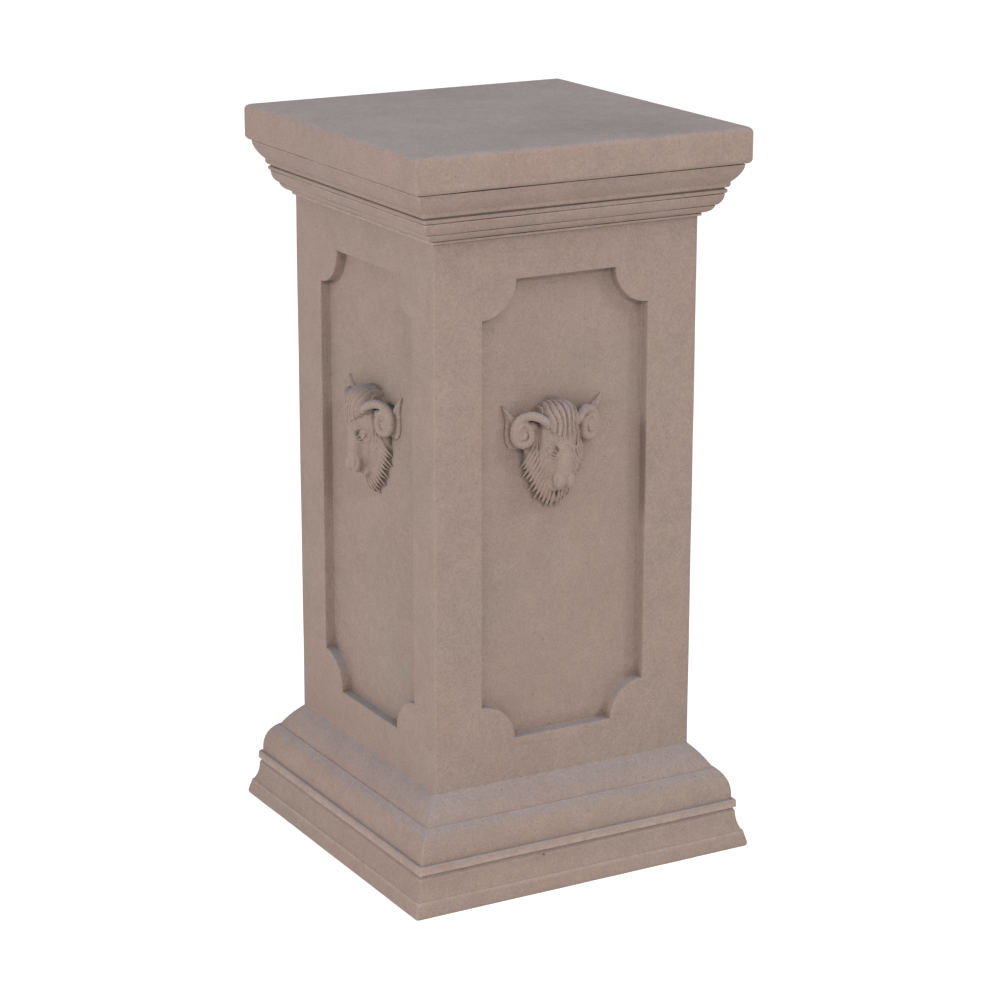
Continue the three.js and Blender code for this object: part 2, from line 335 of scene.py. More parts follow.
def panel_outline(half, grow):
    """The panel's outline, grown outwards all round, in the order of a walk round it."""
    radius = NOTCH_RADIUS - grow
    # The notch is an arc round the panel's own corner, cut off where it meets the grown sides.
    start = math.asin(grow / radius)
    points = []
    for cx, cz, turn_by in (
        (half, PANEL_BOTTOM, 90),
        (half, PANEL_TOP, 180),
        (-half, PANEL_TOP, 270),
        (-half, PANEL_BOTTOM, 0),
    ):
        a0 = math.radians(turn_by)
        for i in range(NOTCH_STEPS + 1):
            angle = a0 + math.pi / 2 + start - (math.pi / 2 + 2 * start) * i / NOTCH_STEPS
            points.append((cx + radius * math.cos(angle), cz + radius * math.sin(angle)))
    return points


def panel_board(half):
    """Points and faces of the board that casts one panel."""
    floor_y = -(SHAFT_HALF - PANEL_DEPTH)
    mouth = PANEL_DEPTH - ARRIS_ROUND
    # Each layer: how far out from the panel's floor, and how far the outline has grown.
    layers = [(0.0, -FLOOR_FILLET)]
    for a in FILLET_TURNS:
        layers.append((FLOOR_FILLET * (1 - math.cos(a)), -FLOOR_FILLET * (1 - math.sin(a))))
    layers += [(mouth * 0.5, 0.0), (mouth, 0.0)]
    for a in ARRIS_TURNS:
        layers.append((mouth + ARRIS_ROUND * math.sin(a), ARRIS_ROUND * (1 - math.cos(a))))
    layers += [(PANEL_DEPTH + 0.02, ARRIS_ROUND), (PANEL_DEPTH + 6, ARRIS_ROUND + 1)]
    points, faces = [], []
    for out, grow in layers:
        points += [(x, floor_y - out, z) for x, z in panel_outline(half, grow)]
    count = len(panel_outline(half, 0))
    for k in range(len(layers) - 1):
        for i in range(count):
            j = (i + 1) % count
            faces.append((k * count + i, k * count + j, (k + 1) * count + j, (k + 1) * count + i))
    faces.append(tuple(reversed(range(count))))
    last = (len(layers) - 1) * count
    faces.append(tuple(last + i for i in range(count)))
    return points, faces


def gridded(target, half, step):
    """Divides an object's large flat faces by upright and level planes a step apart."""
    net = bmesh.new()
    net.from_mesh(target.data)
    bmesh.ops.recalc_face_normals(net, faces=net.faces)
    for axis, start, stop in ((0, -half, half), (2, PANEL_BOTTOM, PANEL_TOP)):
        normal = Vector([1.0 if i == axis else 0.0 for i in range(3)])
        for i in range(1, int((stop - start) / step)):
            geometry = net.verts[:] + net.edges[:] + net.faces[:]
            place = normal * (start + i * step) * MM
            bmesh.ops.bisect_plane(net, geom=geometry, plane_co=place, plane_no=normal)
    net.to_mesh(target.data)
    net.free()


def fix_modifiers(target):
    """Gives an object the mesh that its modifiers make, and takes them off."""
    bpy.context.view_layer.update()
    evaluated = target.evaluated_get(bpy.context.evaluated_depsgraph_get())
    result = bpy.data.meshes.new_from_object(evaluated)
    target.modifiers.clear()
    old = target.data
    target.data = result
    bpy.data.meshes.remove(old)


def boolean(target, tool, operation):
    """Adds or cuts a tool's solid."""
    step = target.modifiers.new(operation.lower(), "BOOLEAN")
    step.operation = operation
    step.solver = "MANIFOLD"
    step.object = tool
    fix_modifiers(target)


def discard(thing):
    mesh = thing.data
    bpy.data.objects.remove(thing)
    bpy.data.meshes.remove(mesh)


def turned(name, source, quarter_turns, shift):
    """A copy of an object's mesh, shifted and then turned round the pedestal's axis."""
    mesh = source.data.copy()
    turn_round = Matrix.Rotation(quarter_turns * math.pi / 2, 4, "Z")
    mesh.transform(turn_round @ Matrix.Translation(shift))
    made = bpy.data.objects.new(name, mesh)
    bpy.context.scene.collection.objects.link(made)
    return made


for quarter, (panel_width, panel_shift) in enumerate(PANELS):
    board = mesh_object("panel_board", *panel_board(panel_width / 2))
    gridded(board, panel_width / 2, BOARD_GRID)
    cutter = turned("cutter", board, quarter, Vector((panel_shift * MM, 0, 0)))
    boolean(block, cutter, "DIFFERENCE")
    discard(cutter)
    discard(board)
print("panels cut:", len(block.data.polygons), "faces")

# %% [markdown]
# ## A block of clay for the ram's head
#
# A sculptor builds such a head from masses of clay pressed together, lays strands of wool over them
# and cuts the eyes and nostrils last. A distance field works the same way: every mass, strand and cut is
# a formula for how far each point of a grid is from its surface, and masses melt together where
# they meet. A subdivided cage could be modelled by hand, but it couldn't be described in so few numbers.
# The head is symmetrical, so only its right half is filled in and the left half mirrors it.
#
# Places are in millimetres on the panel: side, out of the panel's floor, and up from the head's middle.

# %% Set up the clay
VOXEL = 0.75
SIDE_REACH = 66.0
OUT_FROM, OUT_TO = -3.75, 42.0
UP_FROM, UP_TO = -62.0, 70.0
FAR_AWAY = 50.0

side_axis = np.arange(0, SIDE_REACH + VOXEL, VOXEL, dtype=np.float32)
out_axis = np.arange(OUT_FROM, OUT_TO, VOXEL, dtype=np.float32)
up_axis = np.arange(UP_FROM, UP_TO, VOXEL, dtype=np.float32)
clay = np.full((len(side_axis), len(out_axis), len(up_axis)), FAR_AWAY, np.float32)


def window(lowest, highest, margin):
    """The part of the clay round a shape: its slices, and the places of its points."""
    cuts, axes = [], []
    for axis, a, b in zip((side_axis, out_axis, up_axis), lowest, highest):
        i = int(np.searchsorted(axis, a - margin))
        j = int(np.searchsorted(axis, b + margin))
        cuts.append(slice(i, j))
        axes.append(axis[i:j])
    return tuple(cuts), np.meshgrid(*axes, indexing="ij")


def melt(a, b, softness):
    """The union of two distances, rounded over a width of softness where they meet."""
    h = np.clip(0.5 + 0.5 * (b - a) / softness, 0, 1)
    return b + (a - b) * h - softness * h * (1 - h)


def press(distance_of, lowest, highest, softness):
    """Adds a shape to the clay."""
    cut, grid = window(lowest, highest, softness + 3)
    if clay[cut].size:
        clay[cut] = melt(clay[cut], distance_of(*grid), softness)


def carve(distance_of, lowest, highest, softness):
    """Cuts a shape out of the clay."""
    cut, grid = window(lowest, highest, softness + 3)
    if clay[cut].size:
        clay[cut] = -melt(-clay[cut], distance_of(*grid), softness)


def ball(centre, radii, softness, work=press):
    """A rounded mass, longer one way than another."""
    c, r = np.array(centre, np.float32), np.array(radii, np.float32)

    def distance(*grid):
        scaled = [(g - c[i]) / r[i] for i, g in enumerate(grid)]
        near = np.sqrt(sum(q * q for q in scaled)) + 1e-6
        steep = np.sqrt(sum((q / r[i]) ** 2 for i, q in enumerate(scaled))) + 1e-6
        return near * (near - 1) / steep

    work(distance, c - r, c + r, softness)


def smooth_route(points, count):
    """A curve through points, at even shares of its way."""
    p = np.array(points, np.float32)
    p = np.vstack([2 * p[0] - p[1], p, 2 * p[-1] - p[-2]])
    out = []
    for t in np.linspace(0, len(points) - 1, count):
        i = min(int(t), len(points) - 2)
        f = t - i
        a, b, c, d = p[i : i + 4]
        square, cube = 2 * a - 5 * b + 4 * c - d, 3 * b - a - 3 * c + d
        out.append(0.5 * (2 * b + (c - a) * f + square * f**2 + cube * f**3))
    return np.array(out)


def strand(points, radii, softness, count=9, work=press, ridges=None):
    """A tapering strand through points. Ridges are a pitch and a height, for rings round a horn."""
    route = smooth_route(points, count)
    thick = np.interp(np.linspace(0, 1, count), np.linspace(0, 1, len(radii)), radii)
    if ridges:
        pitch, rise = ridges
        lengths = np.concatenate([[0], np.cumsum(np.linalg.norm(np.diff(route, axis=0), axis=1))])
        thick = thick + rise * np.cos(lengths * 2 * math.pi / pitch)

    def distance(*grid):
        nearest = None
        for a, b, ra, rb in zip(route, route[1:], thick, thick[1:]):
            way = b - a
            share = sum((g - a[i]) * way[i] for i, g in enumerate(grid)) / max(float(way @ way), 1e-6)
            share = np.clip(share, 0, 1)
            gap = np.sqrt(sum((g - a[i] - share * way[i]) ** 2 for i, g in enumerate(grid)))
            gap -= ra + (rb - ra) * share
            nearest = gap if nearest is None else np.minimum(nearest, gap)
        return nearest

    reach = float(thick.max())
    work(distance, route.min(0) - reach, route.max(0) + reach, softness)


print("clay:", clay.shape, "points for half a head")

# %% [markdown]
# ### Skull, muzzle and cheeks
#
# The face is broad and blunt: a domed forehead, a straight bridge, deep cheeks that run back to the
# panel, and a square muzzle in two lobes. The masses melt together over a few millimetres.

# %% Press the masses
ball((0, 9, 30), (18, 19, 24), 3)
strand([(0, 21, 26), (0, 23, 8), (0, 23.4, -10)], [9.8, 9.2, 9.2], 4)
strand([(9.5, 10.5, 30), (8.8, 11.5, 12), (7, 12, -4), (4, 12, -19)], [10.8, 10.2, 9.2, 7.8], 4, count=8)
# The temple fills the space between the face and the horn.
ball((24, 5, 26), (8, 9, 15), 3)
ball((29, 9, 36.5), (8, 8, 6.5), 1.5)
ball((0, 19.5, -17), (10, 10.5, 11), 3)
ball((5.0, 25.7, -18.2), (6.7, 6.7, 9.6), 1.6)
ball((4.5, 13.5, -26), (8, 8, 6.5), 2.5)
print("masses pressed")

# %% [markdown]
# ### Ruff and beard
#
# Below the horns the wool hangs from the edge of the cheek in long thin locks, which fall back to the
# panel and draw together into a short beard. A smooth bed of clay carries them, and each lock is a
# tapering strand laid over it. They are placed by their roots along the cheek and their tips on the
# panel, so a few numbers comb the whole ruff. The bed stops short of the tips, which end raggedly.

# %% Lay the ruff
# Stations from under the horn to the beard, as side, out and up.
WOOL_ROOTS = [
    (28, 11, 17.5), (22, 12.2, 9), (17.6, 12.5, -3), (14, 12, -15), (9.2, 12, -26), (0.6, 12.5, -32.5),
]
WOOL_TIPS = [
    (35.8, 1.2, -5), (33.3, 1.0, -17), (28, 0.8, -28.5), (21, 0.8, -40), (11.5, 0.6, -50), (1, 0.6, -56.5),
]
WOOL_LOCKS = 12
LOCK_THICK = [0.8, 1.6, 1.75, 1.6, 0.7]
# The share of the way to its tip that each lock reaches, lock by lock.
LOCK_REACH = [1.0, 0.88, 1.04, 0.93, 0.84]
# The strands of the bed, from the chin outwards: places, thicknesses and softness.
WOOL_BED = [
    (
        [(27, 3.6, 12), (25.5, 4, -2), (20.5, 4, -14), (14.5, 4, -26), (7, 3.5, -36), (0, 3, -41)],
        [6.2, 6.6, 6.6, 6.4, 6.4, 6],
        4,
    ),
    (
        [(20, 5.0, 20), (18.5, 6.4, 6), (15.5, 6.4, -8), (10.5, 6.2, -22), (4, 5.6, -30)],
        [6.6, 6.6, 6.4, 6, 5.6],
        3,
    ),
    (
        [(28.5, -1.2, 1), (25.5, -1, -10), (20.5, -1, -21), (14.5, -1, -31.5), (7.5, -1, -40.5),
         (0, -1.2, -45)],
        [4.8, 5.4, 5.4, 5.4, 5.4, 5.2],
        3,
    ),
]


def ridge(phase, sharpness=0.7):
    """A row of rounded ridges with sharp grooves between them, from 0 to 1."""
    return np.abs(np.sin(math.pi * phase)) ** sharpness


def station(places, share):
    """The place at a share of the way along a row of stations."""
    rows = np.array(places, np.float32)
    at = np.linspace(0, 1, len(rows))
    return np.array([np.interp(share, at, rows[:, n]) for n in range(3)])


for bed_places, bed_thick, bed_softness in WOOL_BED:
    strand(bed_places, bed_thick, bed_softness)
for i in range(WOOL_LOCKS):
    share = (i + 0.5) / WOOL_LOCKS
    root, tip = station(WOOL_ROOTS, share), station(WOOL_TIPS, share)
    # A lock first falls along the cheek, and then swings back to the panel.
    early = root + (tip - root) * 0.3 + (0.2, 1.6, -0.4)
    late = root + (tip - root) * 0.68 + (0.4, 1.8, -0.6)
    reach = LOCK_REACH[i % len(LOCK_REACH)]
    tip = root + (tip - root) * reach
    strand([root + (-2, 1.2, 3), root, early, late, tip], LOCK_THICK, 0.35)
print("ruff:", WOOL_LOCKS, "locks a side")

# %% [markdown]
# ### Ears
#
# An ear stands behind each horn as a pointed leaf with radial ribs. Its edge is given as a distance
# from the middle of the horn's coil in a few directions, and its face slopes from the horn down to
# that edge.

# %% Press the ears
COIL_SIDE, COIL_OUT, COIL_UP = 38.3, 10.8, 29.8
# Turn in degrees from the top outwards, and the distance of the ear's edge from the coil's middle.
EAR_EDGE = [
    (0, 6), (8, 12), (19, 17.5), (28, 24), (33.8, 34.5), (40, 25.5), (49, 19), (70, 15.8), (100, 15.6),
    (128, 17.6), (146, 18.6), (164, 18.2), (180, 17), (205, 15.5), (228, 12), (250, 6), (360, 6),
]
EAR_RIBS = 5.5

cut, grid = window((26, -4, 6), (SIDE_REACH - 2, 14, 68), 0)
turn_by = np.degrees(np.arctan2(grid[0] - COIL_SIDE, grid[2] - COIL_UP)) % 360
from_coil = np.hypot(grid[0] - COIL_SIDE, grid[2] - COIL_UP)
edge = np.interp(turn_by, [t for t, r in EAR_EDGE], [r for t, r in EAR_EDGE])
ribs = 0.35 * ridge(turn_by / EAR_RIBS) * np.clip((edge - from_coil) / 2, 0, 1)
ear_face = 2.6 + 0.3 * np.clip(edge - from_coil - 1.2, 0, 9) + ribs
ear = np.maximum(0.8 * (grid[1] - ear_face), 0.55 * (from_coil - edge))
clay[cut] = melt(clay[cut], ear, 0.8)
print("ears pressed")

# %% [markdown]
# ### Horns
#
# Each horn leaves the forehead, arches out over its own coil and winds in for more than a turn and a
# half. The coil faces outwards a little, so its outer edge lies back on the panel. The route is a
# spiral worked out from its turn, its radius and its thickness at a few angles, and rings round the horn
# are a wave on its thickness.

# %% Wind the horns
COIL_TURNED_OUT = math.radians(14)
HORN_RINGS = (3.6, 0.6)
# The root on the forehead: side, out, up and thickness.
HORN_ROOT = [(15.5, 23.6, 39.3, 3.0), (18.5, 23.0, 42.2, 3.9), (25, 19.4, 46.4, 4.2), (32, 14.6, 47.6, 4.1)]
# Turn in degrees from the top outwards, distance from the coil's middle, thickness, and lift off its plane.
SPIRAL = [
    (9, 15.0, 4.0, 0.2),
    (45, 11.2, 3.9, -0.6),
    (90, 9.2, 3.8, -0.4),
    (135, 10.0, 3.8, 0),
    (180, 11.3, 3.8, 0.2),
    (225, 11.0, 3.8, 0.4),
    (270, 9.0, 3.6, 0.6),
    (315, 9.8, 3.4, 0.6),
    (360, 10.6, 3.3, 0.4),
    (405, 7.4, 3.2, 0.6),
    (450, 4.6, 3.0, 0.8),
    (495, 4.2, 2.6, 1.0),
    (540, 4.6, 2.2, 1.3),
    (600, 3.4, 1.9, 1.5),
    (690, 1.2, 1.6, 1.7),
]


def coil_place(turn_by, radius, lift):
    angle = math.radians(turn_by)
    outwards = math.sin(angle) * radius
    return (
        COIL_SIDE + outwards * math.cos(COIL_TURNED_OUT) + lift * math.sin(COIL_TURNED_OUT),
        COIL_OUT - outwards * math.sin(COIL_TURNED_OUT) + lift * math.cos(COIL_TURNED_OUT),
        COIL_UP + math.cos(angle) * radius,
    )


# The disc behind the coil fills its middle and carries it on the panel.
for depth, radius in ((-9, 14.5), (-5, 13.8), (-1.2, 12.6)):
    ball(coil_place(0, 0, depth), (radius, 4.0, radius), 1)
horn_places = [place[:3] for place in HORN_ROOT] + [coil_place(a, r, lift) for a, r, t, lift in SPIRAL]
horn_thick = [place[3] for place in HORN_ROOT] + [t for a, r, t, lift in SPIRAL]
strand(horn_places, horn_thick, 0.35, count=180, ridges=HORN_RINGS)
print("horns wound:", len(SPIRAL), "stations")

# %% [markdown]
# ### Wool on the crown
#
# Long locks start behind the crown, roll over the forehead, fan out a little and end on the brow and
# against the horn's root. The crown is one domed cap, and the locks are ridges on it: the number of the
# ridge at a point comes from how far it lies to the side and how far round the dome.

# %% Comb the crown
CROWN_MIDDLE = (10.0, 35.0)
CROWN_RADII = (20.5, 23.0, 24.5)
CROWN_SQUARE = 2.7
LOCK_PITCH = (5.0, 5.9)
LOCK_RELIEF = 3.0
# The hairline over the brow: its height in the middle, its rise to the side and how far each lock's
# point hangs below it.
HAIRLINE = (25.5, 0.75, 3.5)

# A low mass behind the crown carries it on the panel.
ball((6, 0, 38), (16, 8, 19), 2)
cut, grid = window((0, -4, 14), (36, 40, 68), 0)
out_by, up_by = grid[1] - CROWN_MIDDLE[0], grid[2] - CROWN_MIDDLE[1]
# How far round the dome: 1 at the back of the top, 0 where the locks end on the forehead.
dome_angle = np.degrees(np.arctan2(up_by, np.maximum(out_by, -8)))
round_by = np.clip((dome_angle + 25) / 115, 0, 1)
pitch = LOCK_PITCH[1] + (LOCK_PITCH[0] - LOCK_PITCH[1]) * round_by
number = grid[0] / pitch + 0.3 * np.sin(round_by * 7.5 - 0.6) * np.clip(grid[0] / 8, 0, 1)
locks = ridge(number, 0.8) + 0.22 * ridge(2 * number + 0.5, 0.8)
axes_share = [np.abs(q) / r for q, r in zip((grid[0], out_by, up_by), CROWN_RADII)]
near = sum(q**CROWN_SQUARE for q in axes_share) ** (1 / CROWN_SQUARE)
cap = (near - 1) * 24 - LOCK_RELIEF * (locks - 1.0)
# The hairline rises from the middle of the brow to the horn, and each lock ends in a point.
hairline = HAIRLINE[0] + HAIRLINE[1] * grid[0] - HAIRLINE[2] * ridge(number, 1.0)
cap = np.maximum(cap, 0.7 * (hairline - grid[2]))
clay[cut] = melt(clay[cut], cap, 0.7)
print("crown: locks", LOCK_PITCH, "mm apart")

# %% [markdown]
# ### Eyes, nostrils and mouth
#
# These are worked last, with the smallest tools. The eye is an almond that slopes down to the nose,
# with a heavy upper lid and fine brow lines over it. The muzzle is split in front, and a comma curls
# round each nostril. Strokes are given as they are seen from the front, and lie on the clay.

# %% Cut the eyes and the muzzle
def on_clay(side, level):
    """How far out the clay stands at a place seen from the front."""
    i = int(round(side / VOXEL))
    k = int(round((level - UP_FROM) / VOXEL))
    column = clay[i, :, k]
    j = int(np.flatnonzero(column < 0).max())
    a, b = column[j], column[j + 1]
    return float(out_axis[j] + VOXEL * a / (a - b))


def stroke(points, radii, softness, lift, work=press):
    """A strand that lies on the clay, through places seen from the front."""
    strand([(x, on_clay(x, z) + lift, z) for x, z in points], radii, softness, work=work)


EYE_SIDE, EYE_UP = 10.8, 12.3
EYE_SLOPE = math.radians(30)
eye_out = on_clay(EYE_SIDE, EYE_UP)


def by_eye(*places):
    """Places given from the eye's middle along its slope, as along towards the ear and across upwards."""
    c, s = math.cos(EYE_SLOPE), math.sin(EYE_SLOPE)
    return [(EYE_SIDE + a * c - b * s, EYE_UP + a * s + b * c) for a, b in places]


ball((EYE_SIDE + 1.2, eye_out + 2.4, EYE_UP + 0.3), (6.2, 3.8, 5.2), 1.8, work=carve)
ball((EYE_SIDE + 0.2, eye_out - 3.2, EYE_UP - 0.2), (4.6, 4.6, 3.9), 0.8)
corner_side, corner_up = by_eye((-3.0, -1.0))[0]
ball((corner_side, eye_out - 1.6, corner_up), (2.6, 2.4, 2.4), 0.8)
upper_lid = by_eye((-5.2, -2.8), (-3.2, 1.6), (0.4, 3.4), (3.8, 2.4), (6.4, 0.2))
lower_lid = by_eye((-5.2, -2.8), (-2.0, -3.6), (1.2, -3.4), (4.0, -1.8), (6.4, 0.2))
under_rim = by_eye((-5.6, -5.2), (-2.0, -7.0), (2.4, -6.8), (5.6, -4.6), (7.6, -1.2))
# Two thin folds run down the edge of the cheek.
stroke([(18.8, 32), (19.2, 20), (18.4, 8), (17.0, -4), (15.2, -16)], [0.5, 1.2, 1.3, 1.1, 0.4], 1.4, 0.2)
stroke([(23.4, 26), (23.4, 15), (22.6, 5)], [0.5, 1.2, 0.5], 1.2, 0.2)
stroke(upper_lid, [0.8, 1.3, 1.45, 1.2, 0.6], 0.5, 0.3)
stroke(lower_lid, [0.6, 0.9, 1.0, 0.9, 0.5], 0.5, 0.1)
stroke(under_rim, [0.6, 1.1, 1.2, 1.0, 0.5], 0.6, 0.2)
for i in range(3):
    step = 2.5 * i
    brow = by_eye((-4.2, 2.6 + step), (-2, 5.4 + step), (2, 6.6 + step), (6, 5.2 + step))
    stroke(brow, [0.5, 0.95, 0.95, 0.4], 0.5, 0.1)
# The split of the upper lip, and the line that runs round the back of each lobe and under it.
lip_split = [(0, 33.5, -15), (0, 32.0, -22), (0, 28.5, -27), (0, 24, -31)]
lobe_line = [
    (12.6, 24, -8), (13.4, 22.6, -14), (12.8, 21.6, -20),
    (10.5, 21.2, -26), (6.5, 21.8, -30), (0, 22.5, -31.5),
]
nostril_comma = [(5.6, -11.0), (8.6, -11.0), (10.6, -14.5), (10.4, -19), (8.2, -22.5)]
strand(lip_split, [0.5, 1.6, 2.6, 2.6], 0.7, work=carve)
strand(lobe_line, [0.8, 2.2, 2.7, 2.7, 2.4, 2.0], 0.8, count=14, work=carve)
stroke(nostril_comma, [0.4, 1.0, 1.4, 1.2, 0.5], 0.4, 0.2, work=carve)
print("eyes and muzzle cut")

# %% [markdown]
# ### From clay to a mesh
#
# The surface is where the distance is nothing. A surface net puts one point in every cell of the grid
# that the surface crosses, at the mean of its crossings, and joins neighbours with four-sided faces. It
# is smoother than marching cubes and has fewer slivers.

# %% Take the surface
def surface_net(values):
    """Points, in grid steps, and four-sided faces of the surface where the values change sign."""
    inside = values < 0
    shape = [n - 1 for n in values.shape]
    corners = [(i, j, k) for i in (0, 1) for j in (0, 1) for k in (0, 1)]

    def part(grid_values, corner):
        """The values at one corner of every cell."""
        return grid_values[tuple(slice(c, c + n) for c, n in zip(corner, shape))]

    full = sum(part(inside, c).astype(np.int8) for c in corners)
    crossed = (full > 0) & (full < 8)
    cells = np.argwhere(crossed)
    number = np.full(shape, -1, np.int64)
    number[crossed] = np.arange(len(cells))
    total = np.zeros((len(cells), 3))
    hits = np.zeros(len(cells))
    for a in corners:
        for axis in range(3):
            if a[axis]:
                continue
            b = tuple(c + (n == axis) for n, c in enumerate(a))
            va, vb = part(values, a)[crossed], part(values, b)[crossed]
            cross = (va < 0) != (vb < 0)
            share = np.where(cross, va / np.where(va == vb, 1, va - vb), 0)
            place = np.array(a, float) + np.outer(share, [n == axis for n in range(3)])
            total += place * cross[:, None]
            hits += cross
    points = cells + total / hits[:, None]
    faces = []
    for axis in range(3):
        one, two = [n for n in range(3) if n != axis]
        ahead = np.diff(inside.astype(np.int8), axis=axis)
        edges = np.argwhere(ahead != 0)
        edges = edges[(edges[:, one] > 0) & (edges[:, two] > 0)]
        edges = edges[(edges[:, one] < shape[one]) & (edges[:, two] < shape[two])]
        leaving = ahead[tuple(edges.T)] < 0
        around = []
        for da, db in ((1, 1), (0, 1), (0, 0), (1, 0)):
            cell = edges.copy()
            cell[:, one] -= da
            cell[:, two] -= db
            around.append(number[tuple(cell.T)])
        quad = np.stack(around, 1)
        flip = leaving if axis != 1 else ~leaving
        quad[~flip] = quad[~flip][:, ::-1]
        faces.append(quad)
    return points, np.vstack(faces)


# The back is cut off level just behind the panel's floor, and the left half mirrors the right.
BACK_AT = OUT_FROM + 1.2 * VOXEL
clay = np.maximum(clay, BACK_AT - out_axis[None, :, None])
whole = np.concatenate([clay[:0:-1], clay], axis=0)
net_points, net_faces = surface_net(whole)
net_points = net_points * VOXEL + [-side_axis[-1], OUT_FROM, UP_FROM]
head_points = np.column_stack([net_points[:, 0], -net_points[:, 1], net_points[:, 2]])
head = mesh_object("ram_head", head_points.tolist(), net_faces[:, ::-1].tolist())
print("head:", len(net_points), "points,", len(net_faces), "faces")

# %% Thin the net where it is flat
HEAD_TRIANGLES = 27000


net = bmesh.new()
net.from_mesh(head.data)
bmesh.ops.recalc_face_normals(net, faces=net.faces)
loose = [v for v in net.verts if not v.link_faces]
bmesh.ops.delete(net, geom=loose, context="VERTS")
net.to_mesh(head.data)
net.free()
step = head.modifiers.new("thin", "DECIMATE")
step.ratio = min(1.0, HEAD_TRIANGLES / (2 * len(head.data.polygons)))
fix_modifiers(head)
print("head thinned to", len(head.data.polygons), "faces")

# %% [markdown]
# ### One head on each panel
#
# The same mould of the head was used on all four sides, and set by hand: on the front it sits a little
# left of the panel's middle, and on the left side a little right of it.

# %% Set the heads
HEAD_ABOVE_MIDDLE = 50.5
HEAD_MIDDLE = (PANEL_BOTTOM + PANEL_TOP) / 2 + HEAD_ABOVE_MIDDLE
# Each side's head, from the front round to the left: its shift to the right of the face's middle.
HEAD_SHIFTS = [-12.0, 0.0, 0.0, 6.0]

for quarter, shift in enumerate(HEAD_SHIFTS):
    place = Vector((shift, -(SHAFT_HALF - PANEL_DEPTH), HEAD_MIDDLE)) * MM
    placed = turned("placed", head, quarter, place)
    boolean(block, placed, "UNION")
    discard(placed)
discard(head)
print("heads set:", len(block.data.polygons), "faces")

# %% [markdown]
# ## Air holes and a hand-made surface
#
# Cast stone is rammed damp into the mould, so air stays caught against it. The holes are a millimetre
# or two across and lie everywhere, with one of four millimetres low on the front. They are cut as
# small many-sided pits. The large faces also aren't quite flat, because the mould was made by hand, so
# every point moves a fraction of a millimetre along its normal, by slow noise.

# %% Cut the air holes
HOLES = 190
HOLE_RADII = (0.45, 1.25)
HOLE_CLEARANCE = 6.0
# Every sixth hole is on the top.
TOP_HOLE_EVERY = 6
# Holes that can be told apart in the photograph: side, height and radius on the front of the base.
NAMED_HOLES = [(-46.0, 37.0, 2.0), (-53.0, 32.5, 1.0)]


def pit(net, centre, radius):
    """A small many-sided ball, a little flattened at random."""
    squash = Matrix.Diagonal([random.uniform(0.8, 1.2) for axis in range(3)] + [1])
    place = Matrix.Translation(centre) @ squash
    bmesh.ops.create_icosphere(net, subdivisions=1, radius=radius * MM, matrix=place)


random.seed(11)
rays = bmesh.new()
rays.from_mesh(block.data)
tree = BVHTree.FromBMesh(rays)
pits = bmesh.new()
taken = []
for i in range(HOLES):
    # A ray from far outside finds the place, so that holes open on the surface.
    turn_by = random.uniform(0, 2 * math.pi)
    level = random.uniform(0.01, height - 0.01)
    start = Vector((math.sin(turn_by), -math.cos(turn_by), 0)) * 0.6 + Vector((0, 0, level))
    aim_at = Vector((random.uniform(-0.12, 0.12), random.uniform(-0.12, 0.12), level))
    if i % TOP_HOLE_EVERY == 0:
        start = Vector((random.uniform(-0.18, 0.18), random.uniform(-0.18, 0.18), 1.2))
        aim_at = start - Vector((0, 0, 1))
    where, normal = tree.ray_cast(start, (aim_at - start).normalized())[:2]
    radius = HOLE_RADII[0] + (HOLE_RADII[1] - HOLE_RADII[0]) * random.random() ** 2.5
    if where is None or any((where - other).length < HOLE_CLEARANCE * MM for other in taken):
        continue
    taken.append(where)
    pit(pits, where + normal * radius * 0.25 * MM, radius)
for side, level, radius in NAMED_HOLES:
    start = Vector((side * MM, -0.6, level * MM))
    where, normal = tree.ray_cast(start, Vector((0, 1, 0)))[:2]
    pit(pits, where + normal * radius * 0.2 * MM, radius)
rays.free()
pit_mesh = bpy.data.meshes.new("pits")
pits.to_mesh(pit_mesh)
pits.free()
pit_tool = bpy.data.objects.new("pits", pit_mesh)
bpy.context.scene.collection.objects.link(pit_tool)
boolean(block, pit_tool, "DIFFERENCE")
discard(pit_tool)
print("air holes:", len(taken) + len(NAMED_HOLES), "giving", len(block.data.polygons), "faces")

# %% Let the faces wave
# The length and the height of each wave.
WAVES = [(65.0, 0.35), (17.0, 0.12)]

mesh = block.data
count = len(mesh.vertices)
normals = np.zeros(count * 3)
mesh.vertex_normals.foreach_get("vector", normals)
normals = normals.reshape(-1, 3)
places = np.zeros(count * 3)
mesh.vertices.foreach_get("co", places)
places = places.reshape(-1, 3)
wave = np.array([
    sum(rise * noise.noise(Vector(p / (length * MM))) for length, rise in WAVES)
    for p in places
])
# The underside and the flat of the top stay level, so that it stands and carries firmly.
level_part = np.abs(normals[:, 2]) > 0.9
wave[level_part & ((places[:, 2] < 1 * MM) | (places[:, 2] > height - 1 * MM))] = 0
places = places + normals * wave[:, None] * MM
mesh.vertices.foreach_set("co", places.ravel())
mesh.update()
print("faces waved by up to", round(float(np.abs(wave).max()), 2), "mm")

# %% [markdown]
# ### How sheltered and how worn each point is
#
# Painted shade darkens the hollows, and handling pales the arrises. Both are measured on the mesh and
# kept as numbers on its points: shelter is the share of short rays that hit the stone again, and wear
# is how far a point stands out over its neighbours.

# %% Measure shelter and wear
SHELTER_RAYS = 12
SHELTER_REACH = 22.0
SHELTER_LIFT = 0.3

rays = bmesh.new()
rays.from_mesh(mesh)
tree = BVHTree.FromBMesh(rays)
rays.free()
